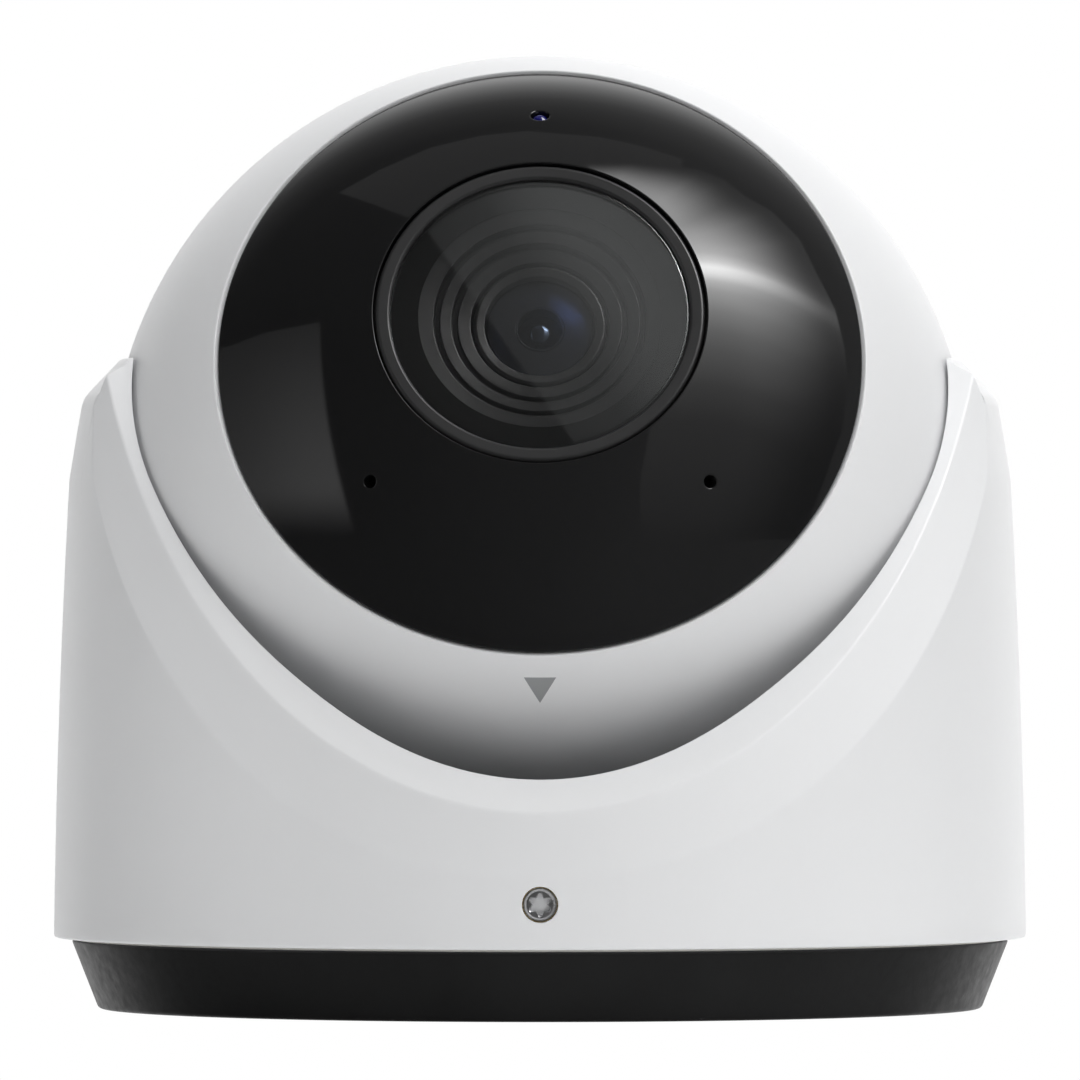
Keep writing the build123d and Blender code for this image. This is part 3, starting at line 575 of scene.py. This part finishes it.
def cover_bm(steps=900):
    base = circle3((60.0, S - 55.05), (59.32, S - 26.2), (58.1, S + 1.0), 90)
    base += circle3((58.1, S + 1.0), (57.2, S + 6.5), (56.55, S + 10.2), 24)[1:]
    tail = corner((56.55, S + 10.2), (56.12, S + 11.3), (51.9, 79.98), 0.9, 9)
    tail += corner((55.9, 75.75), (51.85, 79.99), (51.4, 80.1), 0.35, 6)
    out = np.array(base + tail + [(51.4, 80.1)])
    seg = np.hypot(*np.diff(out, axis=0).T)
    sl = np.concatenate([[0], np.cumsum(seg)])
    dense = np.linspace(0, sl[-1], 1400)
    dr, dz = np.interp(dense, sl, out[:, 0]), np.interp(dense, sl, out[:, 1])

    cav = np.array([(57.6, S - 55.4), (57.6, S - 45), (56.6, S - 20), (56.0, S - 3), (56.0, S + 2),
                    (55.4, S + 6.5), (54.2, S + 10), (52.2, S + 12.8)])

    def curve(s):
        return np.interp(s, sl, out[:, 0]), np.interp(s, sl, out[:, 1])


    rings = []
    for k in range(steps):
        phi = -math.pi / 2 + 2 * math.pi * k / steps
        ok = kept(dr, phi, dz)
        if ok.all():
            s1 = sl[-1]
        else:
            i = int(np.argmin(ok))
            lo, hi = dense[i - 1], dense[i]
            for _ in range(30):
                mid = (lo + hi) / 2
                if kept(*[np.array(q) for q in (curve(mid)[0], phi, curve(mid)[1])]):
                    lo = mid
                else:
                    hi = mid
            s1 = lo
        r1, z1 = (float(q) for q in curve(s1))
        sp = math.sin(phi)
        eased = -11.2 * sp + math.sqrt(125.44 * sp * sp + 1832.62)
        bore0 = BORE * (1 + (eased / BORE) ** 110) ** (1 / 110) if sp < 0 else BORE

        def bore_r(z):
            d = z - S
            return bore0 if d <= 0 else math.sqrt(max(BORE ** 2 - d * d, 0.0))

        def plane_z(r, n):
            return S + (n + SB * r * sp) / CB

        # inner end of the top surface
        land = S + 15.9
        r_in = math.sqrt(BORE ** 2 - 15.9 ** 2)
        z_in = land
        if plane_z(r_in, N_RIM) < land:
            lo, hi = 45.0, BORE
            zz = plane_z(bore0, N_RIM)
            if zz <= S:
                r_in, z_in = bore0, zz
            else:
                for _ in range(40):
                    mid = (lo + hi) / 2
                    q = plane_z(mid, N_RIM) - S
                    if q < 0 or mid * mid + q * q < BORE ** 2:
                        lo = mid
                    else:
                        hi = mid
                r_in, z_in = hi, plane_z(hi, N_RIM)
                if z_in > land:
                    r_in, z_in = math.sqrt(BORE ** 2 - 15.9 ** 2), land

        def under(r):
            """Highest kept point above radius r, on the cut surfaces."""
            hi_z = min(plane_z(r, N_RIM), 90.0)
            if kept(r, phi, hi_z - 1e-6):
                return hi_z
            lo_z = hi_z - 12.0
            for _ in range(36):
                mid = (lo_z + hi_z) / 2
                if kept(r, phi, mid):
                    lo_z = mid
                else:
                    hi_z = mid
            return lo_z

        # where the lower band turns into the rim plane
        rk = r1
        if r1 > r_in + 1e-6 and z1 < plane_z(r1, N_RIM) - 1e-4 and s1 < sl[-1] - 1e-6:
            lo, hi = r_in, r1
            for _ in range(36):
                mid = (lo + hi) / 2
                if kept(mid, phi, plane_z(mid, N_RIM) - 1e-6):
                    lo = mid
                else:
                    hi = mid
            rk = lo
        wall = np.linspace(0, s1, 150) if s1 < sl[-1] - 1e-6 else None
        # section A: side wall
        cutoff = min(s1, 50.0)
        sA = np.concatenate([np.linspace(0, cutoff, 26), cutoff + (s1 - cutoff) * np.linspace(0, 1, 84)[1:]])
        A = [tuple(float(v) for v in curve(s)) for s in sA]
        B = [(r, under(r)) for r in np.linspace(r1, rk, 16)] if rk < r1 - 1e-4 else [(r1, z1)] * 16
        B[0] = (r1, z1)
        zk = B[-1][1]
        if s1 >= sl[-1] - 1e-6:
            C = [(r1, z1)] * 12
            r_in, z_in = r1, z1
        else:
            C = [(r, zk + (z_in - zk) * (rk - r) / max(rk - r_in, 1e-9)) for r in np.linspace(rk, r_in, 12)]
        # bore
        zb = S + 12.8
        za = plane_z(bore0, N_IN)
        if za < S:
            z_low = za
        else:
            lo, hi = S, S + 12.8
            for _ in range(36):
                mid = (lo + hi) / 2
                n = -SB * bore_r(mid) * sp + CB * (mid - S)
                if n < N_IN:
                    lo = mid
                else:
                    hi = mid
            z_low = min(lo, zb)
        z_low = min(z_low, z_in - 0.05)
        D = [(bore_r(z), z) for z in np.linspace(z_in, z_low, 14)]
        # underside of the lip, then the inside wall
        cz = cav[:, 1]
        lo, hi = cz[0], cz[-1]
        for _ in range(36):
            mid = (lo + hi) / 2
            rc = float(np.interp(mid, cz, cav[:, 0]))
            if -SB * rc * sp + CB * (mid - S) < N_IN:
                lo = mid
            else:
                hi = mid
        zt = min(lo, S + 12.8)
        E = [(float(np.interp(z, cz, cav[:, 0])), z) for z in np.linspace(zt, cz[0], 14)]
        rings.append((A, B, C, D, E))

    def polyline(sections):
        """Join the sections, rounding the joints with a short curve."""
        cuts = {0: 0.32, 1: 0.34, 2: 0.16}
        res = []
        secs = [np.array(q, float) for q in sections]
        lens = [float(np.hypot(*np.diff(q, axis=0).T).sum()) for q in secs]
        ends = []
        for i in range(len(secs) - 1):
            d = cuts.get(i, 0.0)
            if d == 0.0:
                ends.append((0.0, 0.0))
                continue
            da = min(d, 0.45 * lens[i])
            # the section after may be empty: then the next one takes the curve
            db = min(d, 0.45 * lens[i + 1])
            ends.append((da, db))
        for i, q in enumerate(secs):
            c = np.concatenate([[0], np.cumsum(np.hypot(*np.diff(q, axis=0).T))])
            a = ends[i - 1][1] if i else 0.0
            b = c[-1] - (ends[i][0] if i < len(ends) else 0.0)
            m = len(q)
            if i == 0:
                frac = c / max(c[-1], 1e-9)
            else:
                frac = np.linspace(0, 1, m)
            s = a + (b - a) * frac
            if c[-1] < 1e-9:
                pts = np.repeat(q[:1], m, axis=0)
            else:
                pts = np.stack([np.interp(s, c, q[:, 0]), np.interp(s, c, q[:, 1])], 1)
            res.append(pts)
            if i < len(ends) and cuts.get(i):
                nxt = secs[i + 1]
                cn = np.concatenate([[0], np.cumsum(np.hypot(*np.diff(nxt, axis=0).T))])
                p0 = pts[-1]
                q0 = q[-1]
                if cn[-1] < 1e-9:
                    p1 = nxt[0]
                else:
                    s1 = ends[i][1]
                    p1 = np.array([np.interp(s1, cn, nxt[:, 0]), np.interp(s1, cn, nxt[:, 1])])
                t = np.linspace(0, 1, 9)[1:-1, None]
                res.append((1 - t) ** 2 * p0 + 2 * t * (1 - t) * q0 + t * t * p1)
        return np.concatenate(res)

    bm = bmesh.new()
    grid = []
    for k, secs in enumerate(rings):
        A, B, C, D, E = secs
        phi = -math.pi / 2 + 2 * math.pi * k / steps
        p = polyline([A, B, C, D])
        p = np.concatenate([p, np.array(E), [(57.75, COVER_Z0), (59.65, COVER_Z0), (59.9, COVER_Z0 + 0.1)]])
        grid.append([bm.verts.new((r * MM * math.cos(phi), r * MM * math.sin(phi), z * MM)) for r, z in p])
    m = len(grid[0])
    for k in range(steps):
        a, b = grid[k], grid[(k + 1) % steps]
        for i in range(m):
            j = (i + 1) % m
            bm.faces.new((a[i], b[i], b[j], a[j]))
    bmesh.ops.remove_doubles(bm, verts=bm.verts[:], dist=3e-6)
    bmesh.ops.dissolve_degenerate(bm, dist=1e-6, edges=bm.edges[:])
    return bm


COVER_Z0 = 8.8
cover = finish_mesh("slanted_cover", cover_bm(), "cover", "white_shell", None, True, 50)
LOCK_Z = 14.2
front_y = Matrix.Translation((0, 0, LOCK_Z * MM)) @ Matrix.Rotation(math.radians(90), 4, "X")
cut(cover, [cutter(flared(2.16, 59.87, 1.35, 0.10, 96, up=2.0), front_y)], 50)
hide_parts("outer_cover")


# lock screw with a six-lobe recess
def lobed(outer, inner_r, n=120):
    pts = []
    for k in range(n):
        a = 2 * math.pi * k / n
        w = 0.5 + 0.5 * math.cos(6 * (a - math.pi / 2))
        pts.append((outer * w ** 0.8 + inner_r * (1 - w ** 0.8), a))
    return pts


screw = finish_mesh("lock_screw_head", lathe_bm(profile([
    (0, 59.55), (1.62, 59.55, 0.1), (1.90, 59.30, 0.12), (1.90, 55.45, 0.1), (0.7, 55.45), (0.7, 54.5, 0.1), (0, 54.5)]), 128),
    "lock", "lock_steel", front_y, True, 35)
bm = bmesh.new()
lo, hi, wide = [], [], []
for r, a in lobed(1.40, 0.92):
    lo.append(bm.verts.new((r * 0.94 * MM * math.cos(a), r * 0.94 * MM * math.sin(a), 58.2 * MM)))
    hi.append(bm.verts.new((r * MM * math.cos(a), r * MM * math.sin(a), 59.46 * MM)))
    wide.append(bm.verts.new((r * 1.12 * MM * math.cos(a), r * 1.12 * MM * math.sin(a), 59.60 * MM)))
bm.faces.new(lo)
bm.faces.new(wide)
for g, h in ((lo, hi), (hi, wide)):
    for i in range(len(g)):
        j = (i + 1) % len(g)
        bm.faces.new((g[i], g[j], h[j], h[i]))
cut(screw, [cutter(bm, front_y)], 35)
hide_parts("lock_screw")

# ================================================================== the base
foot = lathe("base_moulding", [
    (0, 0), (54.5, 0, 0.5), (57.85, 8.5, 0.45), (55.2, 8.5), (55.2, 13.4), (54.3, 13.4), (54.3, 15.0),
    (55.2, 15.0), (55.2, 18.0, 0.4), (52.6, 18.0, 0.3), (52.6, 3.0), (0, 3.0)],
    "base", "black_base", None, 512)
tools = []
for a in (-90, 30, 150):
    x, y = 38 * math.cos(math.radians(a)), 38 * math.sin(math.radians(a))
    tools.append(cutter(lathe_bm([(0, -1), (2.6, -1), (2.6, 0.0), (2.25, 0.35), (2.25, 6), (0, 6)], 64),
                        Matrix.Translation((x * MM, y * MM, 0))))
tools.append(cutter(box_bm(-8.1, 8.1, 34.9, 48.6, -1, 4)))
tools.append(cutter(lathe_bm([(0, -1), (1.5, -1), (1.5, 7), (0, 7)], 48), Matrix.Translation((-0.0125, 0.045, 0))))
tools.append(cutter(lathe_bm([(51.0, -1), (53.2, -1), (53.2, 1.2), (51.0, 1.2)], 512)))
cut(foot, tools)
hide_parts("mounting_base")

# ============================================================ smooth CAD nodes
for n, o in nodes.items():
    me = o.data
    me.polygons.foreach_set("use_smooth", [True] * len(me.polygons))
    me.set_sharp_from_angle(angle=math.radians(35))

# ================================================================== the stage
def plain_floor():
    bm = bmesh.new()
    bmesh.ops.create_circle(bm, cap_ends=True, segments=128, radius=0.75)
    me = bpy.data.meshes.new("floor")
    bm.to_mesh(me)
    bm.free()
    ob = bpy.data.objects.new("floor", me)
    scene.collection.objects.link(ob)
    m, nt, out = new_mat("floor_paper")
    d = node(nt, "ShaderNodeBsdfDiffuse")
    d.inputs["Color"].default_value = (0.86, 0.86, 0.86, 1)
    e = node(nt, "ShaderNodeEmission")
    e.inputs["Strength"].default_value = LIGHT["floor"]
    a = nt.nodes.new("ShaderNodeAddShader")
    white = node(nt, "ShaderNodeEmission")
    white.inputs["Strength"].default_value = 1.0
    lp = nt.nodes.new("ShaderNodeLightPath")
    mx = nt.nodes.new("ShaderNodeMixShader")
    nt.links.new(d.outputs[0], a.inputs[0])
    nt.links.new(e.outputs[0], a.inputs[1])
    nt.links.new(lp.outputs["Is Camera Ray"], mx.inputs["Fac"])
    nt.links.new(a.outputs[0], mx.inputs[1])
    nt.links.new(white.outputs[0], mx.inputs[2])
    nt.links.new(mx.outputs[0], out.inputs["Surface"])
    me.materials.append(m)
    ob.location.z = -0.0002
    ob.visible_glossy = False
    return ob


floor = plain_floor()


# Reflection cards.  Each is laid out by where its reflection falls on the ball: a is
# to the right and b up from the middle of the ball, in ball radii.
EYE = np.array(cam.location)
C0 = np.array(CENTRE)
AX = np.array(AXIS)


def bounce(a, b, flat=False):
    """First hit and mirrored direction for sight lines through (a, b)."""
    a, b = np.asarray(a, float), np.asarray(b, float)
    q = C0 + 0.0533 * np.stack([a, np.zeros_like(a), b], -1)
    v = q - EYE
    v /= np.linalg.norm(v, axis=-1, keepdims=True)
    if flat:
        t = ((C0 + AX * 0.04845 - EYE) @ AX) / (v @ AX)
        p = EYE + v * t[..., None]
        n = np.broadcast_to(AX, p.shape)
    else:
        o = EYE - C0
        h = v @ o
        t = -h - np.sqrt(np.maximum(h * h - (o @ o - 0.0529 ** 2), 0.0))
        p = EYE + v * t[..., None]
        n = (p - C0) / np.linalg.norm(p - C0, axis=-1, keepdims=True)
    d = v - 2 * (v * n).sum(-1, keepdims=True) * n
    return p, d


def reflector(name, a, b, level, dist, flat=False):
    """Soft card: a and b are grids, level the brightness at each grid point."""
    p, d = bounce(a, b, flat)
    co = p + d * dist
    h, w = a.shape
    idx = np.arange(h * w).reshape(h, w)
    quads = np.stack([idx[:-1, :-1], idx[:-1, 1:], idx[1:, 1:], idx[1:, :-1]], -1).reshape(-1, 4)
    me = bpy.data.meshes.new(name)
    me.from_pydata(co.reshape(-1, 3).tolist(), [], quads.tolist())
    at = me.color_attributes.new("glow", "FLOAT_COLOR", "POINT")
    lv = np.maximum(level, 0.0).reshape(-1, 1) * LIGHT["cards"]
    at.data.foreach_set("color", np.concatenate([lv, lv, lv, np.ones_like(lv)], 1).ravel())
    ob = bpy.data.objects.new(name, me)
    scene.collection.objects.link(ob)
    m, nt, out = new_mat(name + "_glow")
    at = nt.nodes.new("ShaderNodeAttribute")
    at.attribute_name = "glow"
    e = nt.nodes.new("ShaderNodeEmission")
    nt.links.new(at.outputs["Color"], e.inputs["Color"])
    nt.links.new(e.outputs[0], out.inputs["Surface"])
    me.materials.append(m)
    ob.visible_camera = False
    ob.visible_shadow = False
    ob.visible_diffuse = False
    return ob


def smooth(t):
    t = np.clip(t, 0, 1)
    return t * t * (3 - 2 * t)


def strip(outer, inner, n_s, n_t):
    """Grid between two matching rows of points."""
    outer, inner = np.array(outer, float), np.array(inner, float)
    c = np.concatenate([[0], np.cumsum(np.hypot(*np.diff(outer, axis=0).T))])
    u = np.linspace(0, c[-1], n_s)
    o = np.stack([np.interp(u, c, outer[:, k]) for k in (0, 1)], -1)
    i = np.stack([np.interp(u, c, inner[:, k]) for k in (0, 1)], -1)
    t = np.linspace(0, 1, n_t)[None, :, None]
    return o[:, None] * (1 - t) + i[:, None] * t, np.hypot(*(o - i).T)[:, None] * t[..., 0]


# main soft box, high on the right: a bright bar, fading below and towards its far edge
key_out = [(.111, .755), (.220, .757), (.315, .747), (.375, .735), (.425, .715), (.473, .677), (.538, .640),
           (.603, .575), (.637, .505), (.661, .459), (.684, .413), (.707, .320), (.712, .239), (.700, .134),
           (.660, .019), (.603, -.120)]
key_in = [(.116, .714), (.139, .667), (.174, .621), (.190, .598), (.209, .575), (.225, .557), (.240, .545),
          (.255, .517), (.267, .471), (.267, .436), (.267, .394), (.267, .320), (.267, .239), (.255, .134),
          (.232, .019), (.232, -.120)]
g, far = strip(key_out, key_in, 260, 90)
ga, gb = g[..., 0], g[..., 1]
drop = 1.036 * np.maximum(ga - .348, 0) ** 2
bar = np.interp(-(gb + drop), [-.749, -.667, -.610, -.575, -.547, -.528, -.514, -.500, -.482, -.459, -.413, -.366,
                               -.320, -.239, -.158, -.019, .074, .120],
                [3.5, 5.2, 6.3, 7.4, 9.0, 13.0, 18.8, 16.0, 9.5, 6.6, 4.0, 2.4, 1.6, .75, .38, .26, .20, .14])
run = np.linspace(0, 1.284, 260)[:, None]
wide = np.interp(run, [0, .10, .265, .38, .60], [.04, .07, .13, .215, .235])
level = bar * (0.06 + 0.94 * smooth(far / wide) ** 1.15)
reflector("soft_box", ga, gb, level, 1.50)

# narrow bank to the left
side_out = [(-.760, .320), (-.630, .361), (-.505, .385)]
side_in = [(-.760, -.160), (-.600, -.160), (-.415, -.090)]
s_, t_ = np.meshgrid(np.linspace(0, 1, 70), np.linspace(0, 1, 90), indexing="ij")
top_a = np.interp(s_, [0, .5, 1], [-.800, -.632, -.505])
top_b = np.interp(s_, [0, .5, 1], [.300, .361, .385])
bow = 4 * t_ * (1 - t_)
low_a = np.interp(s_, [0, 1], [-.800, -.415])
sa = top_a * (1 - t_) + low_a * t_ - .022 * bow * s_
sb = top_b * (1 - t_) + (-.125) * t_
lv = (.13 + .55 * smooth(s_) * smooth(.25 + t_ * .9) + .22 * t_) * (1 - smooth((t_ - .72) / .28)) * smooth((1 - s_) / .035)
reflector("side_bank", sa, sb, lv, 1.60)

# overhead sheet
t_, s_ = np.meshgrid(np.linspace(0, 1, 40), np.linspace(0, 1, 160), indexing="ij")
u = np.linspace(0, 1, 8)
arc_a = np.interp(s_, u, [-.466, -.371, -.255, -.139, -.032, .139, .232, .330])
arc_b = np.interp(s_, u, [.684, .737, .788, .816, .827, .813, .793, .762])
low_a = np.interp(s_, u, [-.466, -.380, -.290, -.200, -.100, .060, .160, .300])
low_b = np.interp(s_, u, [.684, .655, .620, .590, .560, .560, .580, .600])
reflector("overhead", arc_a * (1 - t_) + low_a * t_, arc_b * (1 - t_) + low_b * t_,
          .20 + .03 * s_, 1.75)

# edge of the same sheet as it falls across the flat window
t_, s_ = np.meshgrid(np.linspace(0, 1, 40), np.linspace(0, 1, 8), indexing="ij")
wa = (-.345 * (1 - s_) + .140 * s_) * (1 - t_) + .62 * t_
wb = (.720 * (1 - s_) + .020 * s_) * (1 - t_) + (.86 * (1 - s_) - .05 * s_) * t_
off = .82 * (wa + .283) + .571 * (wb - .621)
reflector("overhead_edge", wa, wb, np.interp(off, [0, .14, .26, .34], [.22, .30, .62, .70]), 1.40, True)


def lamp(name, loc, target, size, power, colour=(1, 1, 1), size_y=None, glossy=True):
    l = bpy.data.lights.new(name, "AREA")
    l.shape = "RECTANGLE"
    l.size = size
    l.size_y = size_y or size
    l.energy = power
    l.color = colour
    o = bpy.data.objects.new(name, l)
    scene.collection.objects.link(o)
    o.location = loc
    o.rotation_euler = (Vector(target) - Vector(loc)).to_track_quat("-Z", "Y").to_euler()
    o.visible_glossy = glossy
    return o


lamp("top_soft", (0.25, 0.0, 1.6), (0, 0, 0.06), 1.5, LIGHT["top"], glossy=False)
lamp("right_soft", (1.5, -0.5, 0.55), (0, 0, 0.05), 1.1, LIGHT["right"], (1.0, 0.995, 0.985), glossy=False)
lamp("front_soft", (0.3, -1.35, 1.05), (0, 0, 0.05), 1.3, LIGHT["front"], glossy=False)
lamp("back_rim", (0.0, 1.2, 0.95), (0, 0, 0.08), 1.6, LIGHT["back"], size_y=0.7, glossy=False)
lamp("left_panel", (-1.35, -0.42, 0.02), (0, 0, 0.06), 0.55, LIGHT["left"], size_y=0.9, glossy=False)

world = bpy.data.worlds.new("world")
scene.world = world
world.use_nodes = True
nt = world.node_tree
nt.nodes.clear()
wo = nt.nodes.new("ShaderNodeOutputWorld")
lp = nt.nodes.new("ShaderNodeLightPath")
bg_cam = nt.nodes.new("ShaderNodeBackground")
bg_cam.inputs["Color"].default_value = (1, 1, 1, 1)
bg_cam.inputs["Strength"].default_value = 1.0
bg_gl = nt.nodes.new("ShaderNodeBackground")
tc = nt.nodes.new("ShaderNodeTexCoord")
sep = nt.nodes.new("ShaderNodeSeparateXYZ")
nt.links.new(tc.outputs["Generated"], sep.inputs[0])


def world_ramp(src, lo, hi, stops, top):
    mr = nt.nodes.new("ShaderNodeMapRange")
    mr.inputs["From Min"].default_value = lo
    mr.inputs["From Max"].default_value = hi
    r = nt.nodes.new("ShaderNodeValToRGB")
    e = r.color_ramp.elements
    while len(e) < len(stops):
        e.new(0.5)
    for el, (p, v) in zip(e, stops):
        el.position = (p - lo) / (hi - lo)
        el.color = (v / top, v / top, v / top, 1)
    k = nt.nodes.new("ShaderNodeMath")
    k.operation = "MULTIPLY"
    k.inputs[1].default_value = top * LIGHT["gloss"]
    nt.links.new(src, mr.inputs["Value"])
    nt.links.new(mr.outputs["Result"], r.inputs["Fac"])
    nt.links.new(r.outputs["Color"], k.inputs[0])
    return k.outputs[0]


sides = world_ramp(sep.outputs["X"], -1, 1, [(-1, .01), (-.6, .025), (0, .075), (.5, .14), (1, .16)], 0.2)
rear = world_ramp(sep.outputs["Y"], 0, 1, [(0, 0), (.42, .01), (.55, .08), (.62, .17), (.68, .36), (.75, .70),
                                          (.81, 1.10), (1, 1.2)], 2.0)
both = nt.nodes.new("ShaderNodeMath")
both.operation = "ADD"
nt.links.new(sides, both.inputs[0])
nt.links.new(rear, both.inputs[1])
nt.links.new(both.outputs[0], bg_gl.inputs["Strength"])
bg_gl.inputs["Color"].default_value = (1, 1, 1, 1)
bg_df = nt.nodes.new("ShaderNodeBackground")
bg_df.inputs["Color"].default_value = (0.97, 0.985, 1.0, 1)
bg_df.inputs["Strength"].default_value = LIGHT["ambient"]
m1 = nt.nodes.new("ShaderNodeMixShader")
m2 = nt.nodes.new("ShaderNodeMixShader")
nt.links.new(lp.outputs["Is Glossy Ray"], m1.inputs["Fac"])
nt.links.new(bg_df.outputs[0], m1.inputs[1])
nt.links.new(bg_gl.outputs[0], m1.inputs[2])
nt.links.new(lp.outputs["Is Camera Ray"], m2.inputs["Fac"])
nt.links.new(m1.outputs[0], m2.inputs[1])
nt.links.new(bg_cam.outputs[0], m2.inputs[2])
nt.links.new(m2.outputs[0], wo.inputs["Surface"])
